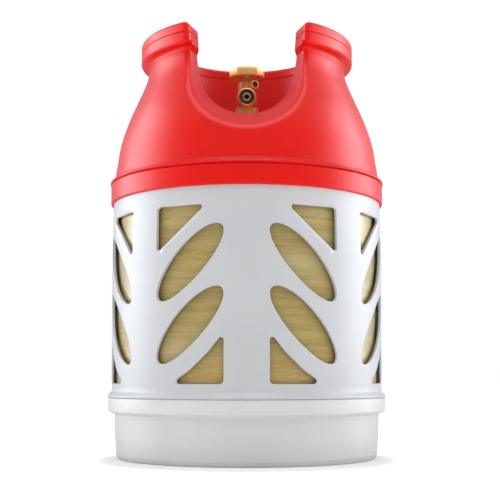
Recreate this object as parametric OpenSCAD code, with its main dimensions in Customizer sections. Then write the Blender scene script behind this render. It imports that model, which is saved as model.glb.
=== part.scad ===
// Portable gas cylinder: a glass-fibre wound pressure vessel in a moulded casing,
// with a lift ring round a brass shut-off valve.
// Origin at the centre of the foot, +Z up, the valve outlet points along -Y.

/* [Casing] */
// Height from the floor to the top of the lift ring
total_h = 460; // [458:1:460]
// Outer radius of the widest lip, which sits between the sleeve and the shroud
lip_r = 152.5; // [151.5:0.5:154]
// Outer radius of the two plain bands that stand proud of the sleeve
band_r = 151.6; // [151:0.1:152]
// Wall thickness of the moulded casing
wall = 4; // [3:0.5:4.5]
// Height of the foot cup
cup_h = 65.1; // [64:0.1:65.1]
// Radius of the flat ring that the cup stands on
foot_r = 140; // [136:1:140]

/* [Sleeve windows] */
// Half length of a leaf-shaped window
leaf_a = 50.2; // [44:0.1:51]
// Half width of a leaf-shaped window
leaf_b = 16.6; // [12:0.1:17]
// Slope of the leaves
leaf_tilt = -46.4; // [-50:0.1:-43]
// Height of the centre of the lower leaf
leaf_z = 137.8; // [137:0.1:138.5]
// Height from one leaf to the next
leaf_step = 62.3; // [60:0.1:64]

/* [Lift ring] */
// Outer radius of the lift ring
ring_r = 120; // [118:0.5:120.5]
// Radius of the hand well inside the ring
well_r = 85; // [83:0.5:86]
// Height of the cap that closes the ring
ring_cap_h = 11.4; // [9:0.1:13]
// Radius of the round bottom of the front notch
notch_r = 50; // [46:0.5:51]
// Height of the centre of that round bottom
notch_z = 407.5; // [405:0.5:410]

/* [Vessel] */
// Outer radius of the wound shell
shell_r = 142.5; // [141:0.1:142.6]
// Thickness of the wound shell
shell_t = 5.5; // [4.5:0.1:6]
// Thickness of the plastic liner
liner_t = 2.5; // [2:0.1:3]

/* [Valve] */
// Height of the outlet's centre line
outlet_z = 398; // [397.5:0.1:398.5]
// Outer radius of the outlet's thread
outlet_r = 10.9; // [10.5:0.1:10.9]
// Distance from the valve's axis to the outlet's face
outlet_reach = 26; // [25:0.1:30]
// Direction of the relief valve, turned from the outlet
relief_angle = 35; // [30:1:60]
// Radius of the handwheel
wheel_r = 20.2; // [19:0.1:22]
// Height of the underside of the handwheel's rim
wheel_z = 425.2; // [425:0.1:426]
// Number of finger flutes round the handwheel
wheel_flutes = 16; // [10:1:24]

/* [Hidden] */
$fn = 96;

fit = 0.05;                 // radial clearance of a running fit
gap = 0.3;                  // gap between pieces that only lie side by side

// Foot cup and sleeve
band_low = 49.7;            // underside of the band at the cup's rim
sleeve_low = 65.3;          // underside of the sleeve's foot bead
sleeve_top = 276;           // where the sleeve goes inside the shroud's band
sleeve_r = 148.1;           // sleeve just above its foot bead
spigot_r = 147;             // sleeve's skirt inside the cup's band
spigot_low = 54;
sleeve_in = 146;            // inside of the sleeve's barrel
cup_floor = 3;              // thickness of the cup's floor
cup_recess = 2.5;           // how far the floor is lifted off the ground
cradle_r = 88;              // ring that carries the vessel
cradle_top = 15.4;
cradle_ribs = 12;

// Window columns repeat every quarter turn, mirrored about each quarter's middle
window_r = 149;             // radius at which the outlines are laid out
column_angle = 22.5;
leaf_x = 1.4;               // leaf centre, sideways from its column's middle
top_edge_x = 38.7;          // upright edges of the corner windows
low_edge_x = -35.4;
corner_top = 257.5;
corner_low = 80.2;
leaf_sides = 40;

// Shroud
band_base = 276.1;
band_top = 297;
lip_top = 300;
tier_z = total_h - ring_cap_h;
plate_t = 6.6;              // plate under the ring's cap
well_floor = 361;
well_floor_t = 3.5;
neck_hole_r = 17.3;
sill_r = 107;               // where the notch's scooped lip meets the slope of the well's sill
sill_z = 357.8;
tongue_in = 98;
tongue_out = 104;
tongue_h = 4;
notch_flare = 3;            // how much wider each side of the notch is at the top
dome = [[147.4, 303], [145.2, 320], [141.2, 344], [133.4, 368],
        [123.7, 391], [114.6, 413], [110.8, 428]];

// Vessel
head_power = 2.5;           // squareness of the vessel's heads
vessel_low = 8;
vessel_high = 360;
low_tangent = 66;
high_tangent = 298;

// Valve
collar_low = 380;
collar_top = 388.5;
collar_w = 27;
body_r = 10.5;
outlet_root = 10.2;         // plain neck behind the outlet's thread
thread_start = 14.5;        // distance from the valve's axis to the thread
body_top = 421;
stem_r = 12.5;
stem_low = 352;
seat_z = 394;
inlet_r = 3.5;
chamber_r = 6.2;
gland_r = 6.6;
gland_low = 414;
gland_head_top = 424.6;
spindle_r = 4;
tang_w = 4;
tang_low = 401.8;
collar_r = 5.4;
plug_top = 404;
gasket_r = 8.65;
bush_r = 4.45;
outlet_bore = 3.1;
relief_z = 415.5;
relief_reach = 17;
relief_seat = 10.3;
relief_bore = 3.4;
relief_boss = 5.2;
relief_wire = 0.3;
boss_top = 378.4;
boss_r = 17;
boss_flange = 34;
boss_flange_t = 3;
liner_mouth_r = 15;
tail_r = 9;                 // stub in the lower pole
tail_flange = 24;
tail_cover = 2.5;           // winding over the flange of the stub
wheel_top = 435.8;

function unit(v) = v / norm(v);

// Points of an arc of radius r that rounds corner b between a and c
function arc_corner(a, b, c, r, steps) =
    let (u = unit(a - b), w = unit(c - b), half = acos(u * w) / 2,
         centre = b + unit(u + w) * r / sin(half),
         p = b + u * r / tan(half), q = b + w * r / tan(half),
         from = atan2(p.y - centre.y, p.x - centre.x),
         to = atan2(q.y - centre.y, q.x - centre.x),
         turn = (to - from + 540) % 360 - 180)
    [for (i = [0 : steps]) centre + r * [cos(from + turn * i / steps), sin(from + turn * i / steps)]];

// Outline whose corners are given as [x, y, rounding radius]
function outline(c, steps = 4) =
    let (n = len(c), xy = [for (p = c) [p.x, p.y]])
    [for (i = [0 : n - 1])
        each (c[i][2] == 0 ? [xy[i]]
              : arc_corner(xy[(i + n - 1) % n], xy[i], xy[(i + 1) % n], c[i][2], steps))];

// Smooth curve through the given points
function curve(p, steps = 4) =
    let (n = len(p) - 1)
    concat([for (i = [0 : n - 1], s = [0 : steps - 1])
        let (t = s / steps, a = p[max(i - 1, 0)], b = p[i], c = p[i + 1], d = p[min(i + 2, n)])
        0.5 * (2 * b + (c - a) * t + (2 * a - 5 * b + 4 * c - d) * t * t
               + (3 * b - a - 3 * c + d) * t * t * t)], [p[n]]);

// A run of points with square corners, for use in an outline
function plain(p) = [for (q = p) [q.x, q.y, 0]];

// Outline of the vessel, inset by depth, from its bottom pole to its top pole
function vessel_outline(depth, steps = 14) =
    let (r = shell_r - depth, low = low_tangent - vessel_low - depth,
         high = vessel_high - high_tangent - depth)
    concat([for (i = [0 : steps]) let (t = sin(90 * (1 - i / steps)))
                [r * pow(1 - pow(t, head_power), 1 / head_power), low_tangent - low * t]],
           [for (i = [0 : steps]) let (t = sin(90 * i / steps))
                [r * pow(1 - pow(t, head_power), 1 / head_power), high_tangent + high * t]]);

function leaf(z) = [for (i = [0 : leaf_sides - 1]) let (t = 360 * i / leaf_sides)
    [leaf_x + leaf_a * cos(t) * cos(leaf_tilt) - leaf_b * sin(t) * sin(leaf_tilt),
     z + leaf_a * cos(t) * sin(leaf_tilt) + leaf_b * sin(t) * cos(leaf_tilt)]];

module ring(inner, outer, low, high) {
    translate([0, 0, low]) difference() {
        cylinder(r = outer, h = high - low);
        if (inner > 0) translate([0, 0, -1]) cylinder(r = inner, h = high - low + 2);
    }
}

module turned(points) { rotate_extrude() polygon(points); }

// A cylinder from one distance to another along the outlet's or the relief valve's axis
module along(angle, z, r, near, far) {
    rotate([0, 0, angle]) translate([0, -near, z]) rotate([90, 0, 0]) cylinder(r = r, h = far - near);
}

module along_relief(r, near, far) { along(relief_angle, relief_z, r, near, far); }

module base_cup() {
    color([0.83, 0.84, 0.84]) difference() {
        union() {
            turned(outline([
                [0, cup_recess, 0], [foot_r - 16, cup_recess, 0], [foot_r - 15, 0, 0],
                [foot_r, 0, 2], [142.4, 5, 5], [144.6, band_low, 0], [band_r, band_low, 0.8],
                [band_r, cup_h, 0.6], [spigot_r + 0.1, cup_h, 0], [spigot_r + 0.1, spigot_low - 0.5, 0],
                [144.6 - wall, band_low - 4, 0], [142.6 - wall, 12, 4],
                [foot_r - 4, cup_recess + cup_floor, 0], [0, cup_recess + cup_floor, 0]]));
            ring(cradle_r, cradle_r + wall, cup_recess + 1, cradle_top);
            for (i = [0 : cradle_ribs - 1]) rotate([0, 0, 360 / cradle_ribs * (i + 0.5)])
                translate([cradle_r + 1, -1.5, cup_recess + 1]) cube([40, 3, cradle_top - cup_recess - 1]);
        }
        for (i = [0 : 3]) rotate([0, 0, 90 * i + 45])
            translate([70, 0, 0]) cylinder(r = 4, h = 20, center = true);
    }
}

module window_column() {
    leaves = [leaf(leaf_z), leaf(leaf_z + leaf_step)];
    top_corner = outline([[-18, corner_top, 2.5], [top_edge_x, 210.2, 2.5], [top_edge_x, corner_top, 3.5]]);
    low_corner = outline([[low_edge_x, corner_low, 3.5], [20.8, corner_low, 2.5], [-0.4, 93.6, 12],
                          [-20.6, 111.9, 12], [low_edge_x, 131, 2.5]]);
    for (shape = [leaves[0], leaves[1], top_corner, low_corner])
        rotate([90, 0, 0]) translate([0, 0, sleeve_in - 20]) linear_extrude(40) polygon(shape);
}

module sleeve() {
    color([0.80, 0.80, 0.80]) difference() {
        turned(concat(
            outline([[spigot_r - 3.4, spigot_low, 0], [spigot_r, spigot_low, 0], [spigot_r, sleeve_low, 0],
                     [lip_r, sleeve_low, 0.4], [lip_r, sleeve_low + 1.9, 0.8],
                     [sleeve_r + 0.6, sleeve_low + 6, 0]]),
            [[sleeve_r, sleeve_low + 8], [window_r, 149], [149.5, 215], [148.3, 276], [148.3, 290],
             [sleeve_in, 290], [sleeve_in, sleeve_low + 6]]));
        for (quarter = [0 : 3]) {
            rotate([0, 0, 90 * quarter + column_angle]) window_column();
            rotate([0, 0, 90 * quarter + 90 - column_angle]) mirror([1, 0, 0]) window_column();
        }
    }
}

function notch_outline(grow) = concat(
    [for (a = [180 : 10 : 360]) [(notch_r + grow) * cos(a), notch_z + (notch_r + grow) * sin(a)]],
    [[notch_r + notch_flare + grow, total_h + 5], [-notch_r - notch_flare - grow, total_h + 5]]);

// The front notch: an upright slot with a round bottom and a scooped lip
module notch(grow) {
    rotate([90, 0, 0]) translate([0, 0, 45]) linear_extrude(120) polygon(notch_outline(grow));
    hull() {
        translate([0, -104, notch_z]) rotate([90, 0, 0]) cylinder(r = notch_r + grow, h = 0.1, $fn = 48);
        translate([0, -146, notch_z - 10.5]) rotate([90, 0, 0])
            cylinder(r = notch_r + 12 + grow, h = 0.1, $fn = 48);
    }
}

module shroud() {
    groove_low = tier_z - tongue_h - 0.1;
    plate_low = tier_z - plate_t;
    outer_dome = plain(curve(dome));
    inner_dome = plain([for (i = [len(dome) - 1 : -1 : 0]) [dome[i].x - wall, dome[i].y]]);
    profile = outline(concat(
        [[148.6, band_base, 0], [band_r, band_base, 0.8], [band_r, band_top, 0],
         [lip_r, band_top + 0.6, 0], [lip_r, lip_top, 0.6]],
        outer_dome,
        [[dome[6].x, tier_z - 14.6, 3], [ring_r, tier_z - 12.6, 3], [ring_r, tier_z, 0.6],
         [tongue_out + 0.1, tier_z, 0], [tongue_out + 0.1, groove_low, 0],
         [tongue_in - 0.1, groove_low, 0], [tongue_in - 0.1, tier_z, 0], [well_r, tier_z, 0.6],
         [well_r - 5, well_floor + well_floor_t, 0], [neck_hole_r, well_floor + well_floor_t, 0],
         [neck_hole_r, well_floor, 0], [well_r - 5 + wall, well_floor, 0], [well_r + wall, plate_low, 0],
         [ring_r - wall, plate_low, 0], [ring_r - wall, tier_z - 9, 0]],
        inner_dome, [[148.6, 297, 0]]));
    color([0.86, 0.13, 0.10]) difference() {
        union() {
            turned(profile);
            intersection() {
                turned(concat([[well_r - 4, well_floor], [sill_r, sill_z - 6.5], [dome[1].x, dome[1].y - 10]],
                              [for (i = [1 : len(dome) - 1]) dome[i]],
                              [[dome[6].x, plate_low + 1], [well_r, plate_low + 1]]));
                notch(wall);
            }
        }
        difference() {
            notch(0);
            turned([[0, 0], [0, well_floor + well_floor_t], [well_r - 4, well_floor + well_floor_t],
                    [sill_r, sill_z], [sill_r, 0]]);
        }
    }
}

module handle_cap() {
    color([0.90, 0.20, 0.17]) difference() {
        union() {
            turned(outline([[well_r, tier_z, 0.6], [ring_r, tier_z, 0.6],
                            [ring_r, total_h, 3.5], [well_r, total_h, 3.5]]));
            ring(tongue_in, tongue_out, tier_z - tongue_h, tier_z + 1);
        }
        notch(0);
    }
}

module vessel_shell() {
    color([0.72, 0.62, 0.38]) difference() {
        turned(vessel_outline(0));
        turned(vessel_outline(shell_t));
        cylinder(r = boss_r, h = total_h);
        translate([0, 0, vessel_high - shell_t - 10]) cylinder(r = boss_flange, h = 10 + boss_flange_t);
        cylinder(r = tail_r, h = 60);
        translate([0, 0, vessel_low + tail_cover]) cylinder(r = tail_flange, h = shell_t - tail_cover + gap);
    }
}

module liner() {
    color([0.93, 0.93, 0.90]) difference() {
        turned(vessel_outline(shell_t + 2 * fit));
        turned(vessel_outline(shell_t + liner_t));
        translate([0, 0, vessel_high - 30]) cylinder(r = liner_mouth_r, h = 40);
    }
}

module tail_plug() {
    flange_low = vessel_low + tail_cover;
    color([0.75, 0.76, 0.78]) difference() {
        union() {
            ring(0, tail_r, vessel_low - 1.6, vessel_low + shell_t);
            ring(0, tail_flange, flange_low, vessel_low + shell_t);
        }
        cylinder(r = 3, h = vessel_low + 2);
    }
}

module boss() {
    flange_low = vessel_high - shell_t;
    color([0.80, 0.63, 0.35]) difference() {
        union() {
            ring(0, liner_mouth_r - 0.2, stem_low - 4, flange_low + 1);
            ring(0, boss_flange, flange_low, flange_low + boss_flange_t);
            ring(0, boss_r, flange_low + 1, boss_top);
        }
        cylinder(r = stem_r + fit, h = total_h);
        ring(21.9, 25.1, flange_low - 1, flange_low + 1.5);
    }
}

module boss_seal() {
    flange_low = vessel_high - shell_t;
    color([0.08, 0.08, 0.08]) ring(22, 25, flange_low + 0.1, flange_low + 1.4);
}

module shroud_nut() {
    nut_low = well_floor + well_floor_t;
    color([0.75, 0.76, 0.78]) difference() {
        union() {
            ring(0, 27, nut_low, nut_low + 2.5);
            translate([0, 0, nut_low + 2]) cylinder(r = 25, h = 7, $fn = 6);
        }
        cylinder(r = boss_r + fit, h = total_h);
    }
}

module valve_body() {
    feed = 8.6;             // where the relief valve's feed runs up the wall of the body
    color([0.83, 0.66, 0.36]) difference() {
        union() {
            ring(0, stem_r, stem_low, collar_low + 1);
            intersection() {
                translate([0, 0, (collar_low + collar_top) / 2])
                    cube([collar_w, collar_w, collar_top - collar_low], center = true);
                rotate([0, 0, 45]) translate([0, 0, (collar_low + collar_top) / 2])
                    cube([collar_w + 6.2, collar_w + 6.2, collar_top - collar_low], center = true);
            }
            ring(0, body_r, collar_low, body_top);
            along(0, outlet_z, outlet_root, 0, outlet_reach);
            along(0, outlet_z, outlet_r, thread_start, outlet_reach);
            along_relief(relief_boss, 0, relief_reach);
        }
        cylinder(r = inlet_r, h = seat_z);
        ring(inlet_r + 1, chamber_r, seat_z - 1, seat_z + 1);
        ring(0, chamber_r, seat_z, body_top + 1);
        ring(0, gland_r, gland_low, body_top + 1);
        along(0, outlet_z, outlet_bore + 0.9, 0, outlet_reach);
        along(0, outlet_z, gasket_r, outlet_reach - 4, outlet_reach + 1);
        along_relief(relief_bore, relief_seat, relief_reach + 1);
        along_relief(0.8, feed, relief_seat + 1);
        rotate([0, 0, relief_angle]) translate([0, -feed, seat_z - 8.6])
            cylinder(r = 0.8, h = relief_z - seat_z + 8.6);
        along(relief_angle, seat_z - 8, 0.8, 0, feed);
    }
}

module valve_o_ring() {
    color([0.08, 0.08, 0.08]) translate([0, 0, (boss_top + collar_low) / 2])
        rotate_extrude() translate([stem_r + 1, 0]) circle(r = (collar_low - boss_top) / 2 - 0.02);
}

module gland_nut() {
    color([0.80, 0.63, 0.35]) difference() {
        union() {
            ring(0, gland_r - fit, gland_low, body_top + 1);
            translate([0, 0, body_top]) cylinder(r = 7.6, h = gland_head_top - body_top, $fn = 6);
        }
        cylinder(r = spindle_r + fit, h = total_h);
    }
}

module thrust_washer() {
    color([0.92, 0.92, 0.88]) ring(spindle_r + fit, chamber_r - 2 * fit, gland_low - 0.5, gland_low);
}

module upper_spindle() {
    collar_z = gland_low - 0.5 - fit;
    color([0.70, 0.72, 0.74]) difference() {
        union() {
            translate([-tang_w / 2, -tang_w / 2, tang_low]) cube([tang_w, tang_w, collar_z - tang_low]);
            ring(0, collar_r, collar_z - 2.6, collar_z);
            ring(0, spindle_r, collar_z - 1, wheel_z);
            translate([-2.7, -2.7, wheel_z - 0.1]) cube([5.4, 5.4, 5.6]);
        }
        for (z = [gland_low + 1.5, gland_low + 4.5]) ring(spindle_r - 0.9, spindle_r + 1, z, z + 1.8);
        translate([0, 0, wheel_z - 1]) cylinder(r = 2 + fit, h = 20);
    }
}

module spindle_o_rings() {
    color([0.08, 0.08, 0.08]) for (z = [gland_low + 1.6, gland_low + 4.6])
        ring(spindle_r - 0.85, spindle_r + 0.02, z, z + 1.6);
}

module lower_spindle() {
    color([0.80, 0.63, 0.35]) difference() {
        union() {
            ring(0, 5, seat_z + 0.5, seat_z + 6);
            ring(0, chamber_r - fit, seat_z + 5, plug_top);
        }
        translate([-tang_w / 2 - fit, -tang_w / 2 - fit, tang_low - 3.3])
            cube([tang_w + 2 * fit, tang_w + 2 * fit, 10]);
        ring(0, 4.3, seat_z, seat_z + 2);
    }
}

module seat_pad() {
    color([0.12, 0.12, 0.12]) ring(0, 4.25, seat_z + 0.03, seat_z + 1.98);
}

module handwheel() {
    color([0.86, 0.69, 0.39]) difference() {
        ring(0, wheel_r, wheel_z, wheel_top);
        ring(6, wheel_r - 3.2, wheel_z - 1, wheel_z + 5.6);
        translate([-2.75, -2.75, wheel_z - 1]) cube([5.5, 5.5, 6.8]);
        translate([0, 0, wheel_z]) cylinder(r = 2.2, h = 20);
        translate([0, 0, wheel_top - 3]) cylinder(r = 4.6, h = 5);
        for (i = [0 : wheel_flutes - 1]) rotate([0, 0, 360 / wheel_flutes * i])
            translate([wheel_r + 2, 0, wheel_z - 1]) cylinder(r = 2.6, h = 20, $fn = 32);
    }
}

module handwheel_screw() {
    color([0.78, 0.79, 0.80]) difference() {
        union() {
            ring(0, 4.3, wheel_top - 3, wheel_top - 0.6);
            ring(0, 2, wheel_z + 0.2, wheel_top - 2.5);
        }
        translate([-4.5, -0.5, wheel_top - 1.6]) cube([9, 1, 2]);
    }
}

module outlet_bush() {
    color([0.88, 0.72, 0.42]) difference() {
        along(0, outlet_z, bush_r, outlet_reach - 3.98, outlet_reach - 0.3);
        along(0, outlet_z, outlet_bore, outlet_reach - 6, outlet_reach + 1);
    }
}

module outlet_gasket() {
    color([0.13, 0.12, 0.13]) difference() {
        along(0, outlet_z, gasket_r - fit, outlet_reach - 3.9, outlet_reach - 0.8);
        along(0, outlet_z, bush_r + fit, outlet_reach - 6, outlet_reach + 1);
    }
}

module relief_poppet() {
    color([0.80, 0.63, 0.35]) difference() {
        union() {
            along_relief(relief_bore - fit, relief_seat + 0.6, relief_seat + 2.2);
            along_relief(1.2, relief_seat + 2, relief_seat + 4.6);
        }
        along_relief(2.55, relief_seat, relief_seat + 1);
    }
}

module relief_seat_pad() {
    color([0.12, 0.12, 0.12]) along_relief(2.5, relief_seat + 0.03, relief_seat + 0.98);
}

module relief_spring() {
    turns = 2;
    sides = 8;
    rings = 30;
    coil_r = 2.4;
    near = relief_seat + 2.25 + relief_wire;
    far = relief_seat + 4.25 - relief_wire;
    function wire(i, j) = let (a = 360 * turns * i / rings, b = 360 * j / sides,
        r = coil_r + relief_wire * cos(b))
        [r * cos(a), -(near + (far - near) * i / rings + relief_wire * sin(b)), r * sin(a)];
    color([0.70, 0.72, 0.74]) rotate([0, 0, relief_angle]) translate([0, 0, relief_z])
        polyhedron(
            points = [for (i = [0 : rings], j = [0 : sides - 1]) wire(i, j)],
            faces = concat(
                [[for (j = [0 : sides - 1]) j]], [[for (j = [sides - 1 : -1 : 0]) rings * sides + j]],
                [for (i = [0 : rings - 1], j = [0 : sides - 1]) let (k = (j + 1) % sides)
                    [i * sides + j, (i + 1) * sides + j, (i + 1) * sides + k, i * sides + k]]));
}

module relief_plug() {
    color([0.80, 0.63, 0.35]) difference() {
        along_relief(relief_bore - fit, relief_seat + 4.3, relief_seat + 5.6);
        along_relief(1.25, relief_seat, relief_reach);
        for (a = [0 : 90 : 270]) rotate([0, 0, relief_angle]) translate([2.2 * cos(a), 0, relief_z + 2.2 * sin(a)])
            rotate([90, 0, 0]) translate([0, 0, relief_seat]) cylinder(r = 0.5, h = 8);
    }
}

module relief_cap() {
    color([0.10, 0.09, 0.10]) along_relief(relief_bore - fit, relief_seat + 5.7, relief_reach + 0.3);
}

base_cup();
sleeve();
shroud();
handle_cap();
vessel_shell();
liner();
tail_plug();
boss();
boss_seal();
shroud_nut();
valve_body();
valve_o_ring();
gland_nut();
upper_spindle();
spindle_o_rings();
thrust_washer();
lower_spindle();
seat_pad();
handwheel();
handwheel_screw();
outlet_bush();
outlet_gasket();
relief_poppet();
relief_seat_pad();
relief_spring();
relief_plug();
relief_cap();
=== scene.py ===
import bpy
import math
import numpy as np
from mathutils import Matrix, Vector, geometry


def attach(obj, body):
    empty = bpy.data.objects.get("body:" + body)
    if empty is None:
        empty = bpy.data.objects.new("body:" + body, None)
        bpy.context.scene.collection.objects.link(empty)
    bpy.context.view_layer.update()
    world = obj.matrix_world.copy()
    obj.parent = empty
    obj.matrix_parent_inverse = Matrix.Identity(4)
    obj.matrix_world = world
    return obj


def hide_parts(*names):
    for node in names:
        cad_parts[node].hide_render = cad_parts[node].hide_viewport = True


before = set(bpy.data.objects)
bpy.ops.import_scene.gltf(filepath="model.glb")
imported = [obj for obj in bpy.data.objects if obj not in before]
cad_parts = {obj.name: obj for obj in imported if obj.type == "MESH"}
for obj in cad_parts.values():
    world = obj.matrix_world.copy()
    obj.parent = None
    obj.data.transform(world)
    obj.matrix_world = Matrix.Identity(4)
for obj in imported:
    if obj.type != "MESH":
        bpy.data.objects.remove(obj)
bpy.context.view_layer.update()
MM = 0.001


# ---------------------------------------------------------------- Studio
# A white floor that runs out to a white surround. Even light comes from all
# round, with soft keys from both sides and above; strips only add the gloss.
camera = bpy.data.objects.new("camera", bpy.data.cameras.new("camera"))
camera.data.lens = 75.6
camera.location = (0, -1.1704, 0.087)
camera.rotation_euler = (math.radians(90 + 6.893), 0, math.radians(-0.180))
bpy.context.collection.objects.link(camera)
bpy.context.scene.camera = camera
bpy.context.scene.view_settings.view_transform = "Standard"


def soft_light(name, place, size, power, gloss, aim=(0, 0, 0.25)):
    """An area light that only adds gloss, or only lights surfaces."""
    lamp = bpy.data.lights.new(name, "AREA")
    lamp.shape = "RECTANGLE"
    lamp.size, lamp.size_y = size
    lamp.energy = power
    lamp.color = (0.86, 0.93, 1.0) if gloss else (0.96, 0.98, 1.0)
    light = bpy.data.objects.new(name, lamp)
    light.location = place
    light.rotation_euler = (Vector(place) - Vector(aim)).to_track_quat("Z", "Y").to_euler()
    light.visible_diffuse, light.visible_glossy = not gloss, gloss
    bpy.context.collection.objects.link(light)


soft_light("left_strip", (-1.25, 0.30, 0.62), (0.8, 1.2), 25, True)
soft_light("right_strip", (1.25, 0.30, 0.62), (0.8, 1.2), 25, True)
soft_light("overhead_strip", (0, -0.35, 1.6), (1.2, 0.6), 10, True)
soft_light("left_key", (-1.25, -0.30, 0.70), (0.35, 0.7), 3.5, False)
soft_light("right_key", (1.25, -0.30, 0.70), (0.35, 0.7), 3.5, False)
soft_light("front_key", (0, -0.90, 1.35), (0.8, 0.4), 1.5, False)


class Flow:
    """A value, colour or direction on its way through a finish; arithmetic on it adds the nodes."""

    def __init__(self, tree, socket=None):
        self.tree, self.socket = tree, socket

    def node(self, kind, settings=None, values=None, out=0):
        made = self.tree.nodes.new("ShaderNode" + kind)
        for key, value in (settings or {}).items():
            if key == "stops":
                while len(made.color_ramp.elements) < len(value):
                    made.color_ramp.elements.new(1)
                for stop, (place, colour) in zip(made.color_ramp.elements, value):
                    stop.position = place
                    stop.color = (*colour, 1)
            else:
                setattr(made, key, value)
        for key, value in (values or {}).items():
            if isinstance(value, Flow):
                self.tree.links.new(value.socket, made.inputs[key])
            else:
                made.inputs[key].default_value = value
        return Flow(self.tree, made.outputs[out]) if out is not None else None

    def math(self, operation, a, b=0.0, c=0.0):
        return self.node("Math", {"operation": operation}, {0: a, 1: b, 2: c})

    def __add__(self, other):
        return self.math("ADD", self, other)

    def __sub__(self, other):
        return self.math("SUBTRACT", self, other)

    def __rsub__(self, other):
        return self.math("SUBTRACT", other, self)

    def __mul__(self, other):
        return self.math("MULTIPLY", self, other)

    __radd__, __rmul__ = __add__, __mul__

    def step(self, low, high):
        """0 below low, 1 above high, a smooth rise between."""
        return self.node("MapRange", {"interpolation_type": "SMOOTHSTEP"}, {0: self, 1: low, 2: high})

    def mixed(self, plain, other):
        """Colours plain and other, mixed by this value."""
        colours = [c if isinstance(c, Flow) else (*c, 1) for c in (plain, other)]
        return self.node("Mix", {"data_type": "RGBA"}, {0: self, 6: colours[0], 7: colours[1]}, out=2)

    def noise(self, scale, detail=2.0, where=None, roughness=0.5):
        place = where or self.place()
        values = {"Vector": place, "Scale": scale, "Detail": detail, "Roughness": roughness}
        return self.node("TexNoise", {}, values)

    def place(self):
        return self.node("TexCoord", out=3)

    def stretched(self, x, y, z, place=None):
        return self.node("Mapping", {}, {0: place or self.place(), 3: (x, y, z)})


world = bpy.data.worlds.new("surround")
world.use_nodes = True
world.node_tree.nodes.clear()
bpy.context.scene.world = world
sky = Flow(world.node_tree)
rear = sky.node("SeparateXYZ", {}, {0: sky.node("TexCoord", out=0)}, out=1)
height = sky.node("SeparateXYZ", {}, {0: sky.node("TexCoord", out=0)}, out=2)
horizon = rear.step(0.2, 0.9) * (1 - height.step(0.4, 0.75))
even = sky.node("Background", {}, {0: (1, 1, 1, 1), 1: height.step(0.35, 0.95) * 1.0 + 0.33})
gloss = sky.node("Background", {}, {0: (0.86, 0.93, 1.0, 1), 1: horizon * 0.30 + 0.34})
seen = sky.node("Background", {}, {0: (1, 1, 1, 1), 1: 1.0})
shown = sky.node("MixShader", {}, {0: sky.node("LightPath", out=3), 1: even, 2: gloss})
shown = sky.node("MixShader", {}, {0: sky.node("LightPath", out=0), 1: shown, 2: seen})
sky.node("OutputWorld", {}, {0: shown}, out=None)


def finish(name, colour, **fixed):
    """A new material; returns it, a Flow to build on and its main shader's inputs."""
    made = bpy.data.materials.new(name)
    made.use_nodes = True
    made.diffuse_color = (*colour, 1)
    shader = made.node_tree.nodes["Principled BSDF"]
    shader.inputs["Base Color"].default_value = (*colour, 1)
    for key, value in fixed.items():
        shader.inputs[key.replace("_", " ").title().replace("Ior", "IOR")].default_value = value
    return made, Flow(made.node_tree), shader


def feed(shader, name, flow):
    flow.tree.links.new(flow.socket, shader.inputs[name])


def bump(flow, height, depth_mm, strength=1.0):
    return flow.node("Bump", {}, {"Height": height, "Distance": depth_mm * MM, "Strength": strength})


floor_white, flow, shader = finish("floor_white", (0.86, 0.86, 0.86), roughness=0.9, emission_strength=1.0)
feed(shader, "Base Color", flow.noise(3.0).step(0.2, 0.8).mixed((0.86, 0.86, 0.86), (0.88, 0.88, 0.88)))
# The floor's glow fades to black round the cup's foot: a painted contact shadow under the tank.
SHADOW_CENTRE, SHADOW_REACH, GLOW = (0, -0.035, 0), (0.145, 0.185), (0.56, 0.56, 0.56)
from_middle = flow.node("VectorMath", {"operation": "DISTANCE"}, {0: flow.place(), 1: SHADOW_CENTRE}, out=1)
feed(shader, "Emission Color", from_middle.step(*SHADOW_REACH).mixed((0.0, 0.0, 0.0), GLOW))
bpy.ops.mesh.primitive_plane_add(size=40)
floor = bpy.context.object
floor.name = "floor"
floor.visible_glossy = False
floor.data.materials.append(floor_white)


# ---------------------------------------------------------------- Foot cup
# The vessel stands in a moulded polyethylene cup with a rounded heel. A band
# stands proud at its rim, and the bead at the sleeve's foot sits on top of it.
def rounded(corners, steps=6):
    """A closed outline from (x, y, radius) corners."""
    made = []
    count = len(corners)
    for i, (x, y, radius) in enumerate(corners):
        b = np.array((x, y), float)
        if not radius:
            made.append(tuple(b))
            continue
        u = np.array(corners[i - 1][:2], float) - b
        w = np.array(corners[(i + 1) % count][:2], float) - b
        u, w = u / np.linalg.norm(u), w / np.linalg.norm(w)
        half = math.acos(np.clip(u @ w, -1, 1)) / 2
        centre = b + (u + w) / np.linalg.norm(u + w) * radius / math.sin(half)
        start, stop = (b + d * radius / math.tan(half) - centre for d in (u, w))
        a = math.atan2(start[1], start[0])
        turn = (math.atan2(stop[1], stop[0]) - a + 3 * math.pi) % (2 * math.pi) - math.pi
        for k in range(steps + 1):
            angle = a + turn * k / steps
            made.append((centre[0] + radius * math.cos(angle), centre[1] + radius * math.sin(angle)))
    return made


def piece(name, points, faces, material, body, slot, replaced=(), crease=35):
    """A mesh in millimetres becomes a shaded piece that rides on a body."""
    mesh = bpy.data.meshes.new(name)
    mesh.from_pydata((np.asarray(points) * MM).tolist(), [], [list(f) for f in faces])
    mesh.validate()
    mesh.shade_smooth()
    mesh.set_sharp_from_angle(angle=math.radians(crease))
    mesh.materials.append(material)
    made = bpy.data.objects.new(name, mesh)
    bpy.context.collection.objects.link(made)
    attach(made, body)
    if replaced:
        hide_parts(*replaced)
    return made


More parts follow.
